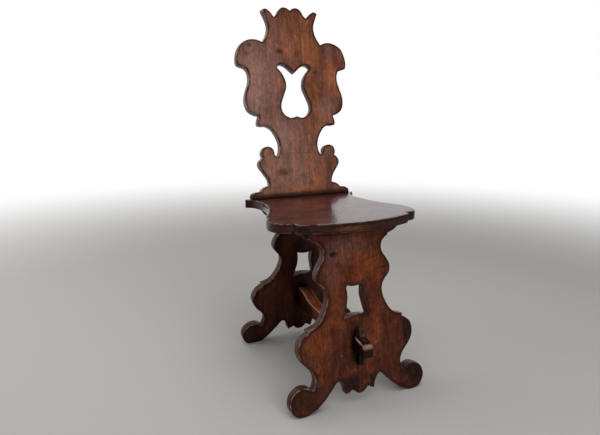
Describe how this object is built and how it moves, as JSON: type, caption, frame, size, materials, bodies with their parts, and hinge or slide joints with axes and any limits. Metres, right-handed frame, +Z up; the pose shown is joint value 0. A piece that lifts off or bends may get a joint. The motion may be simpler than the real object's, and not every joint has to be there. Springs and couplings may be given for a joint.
{
  "type": "sgabello chair",
  "caption": "Plank-built side chair: shaped seat on two scrolled leaning trestles tied by a keyed stretcher, with a raked, scrolled back pierced by a tulip.",
  "frame": {"origin": "on the floor, under the middle of the chair's bounding box", "axes": "+Z up, the sitter faces -Y, +X to the right of someone who looks at the chair's front"},
  "size_m": [0.402, 0.5124, 0.9981],
  "materials": {
    "seat_walnut": "polished dark walnut, worn at the edges",
    "back_walnut": "waxed red-brown walnut",
    "trestle_walnut": "waxed dark walnut with darkened rims",
    "stretcher_walnut": "waxed walnut, rubbed along its edges",
    "key_walnut": "near-black polished walnut",
    "wedge_walnut": "plain unpolished walnut"
  },
  "bodies": {
    "chair": {"seat_board": "seat_walnut", "back_board": "back_walnut", "front_trestle": "trestle_walnut", "rear_trestle": "trestle_walnut", "stretcher": "stretcher_walnut", "left_tenon_wedge": "wedge_walnut", "right_tenon_wedge": "wedge_walnut"},
    "front_key": {"front_key": "key_walnut"},
    "rear_key": {"rear_key": "key_walnut"}
  },
  "joints": [
    {"name": "front_key_draw", "type": "slide", "parent": "chair", "child": "front_key", "axis": [0, 0.1611, 0.9869], "range_m": [0, 0.08]},
    {"name": "rear_key_draw", "type": "slide", "parent": "chair", "child": "rear_key", "axis": [0, -0.1611, 0.9869], "range_m": [0, 0.08]}
  ]
}
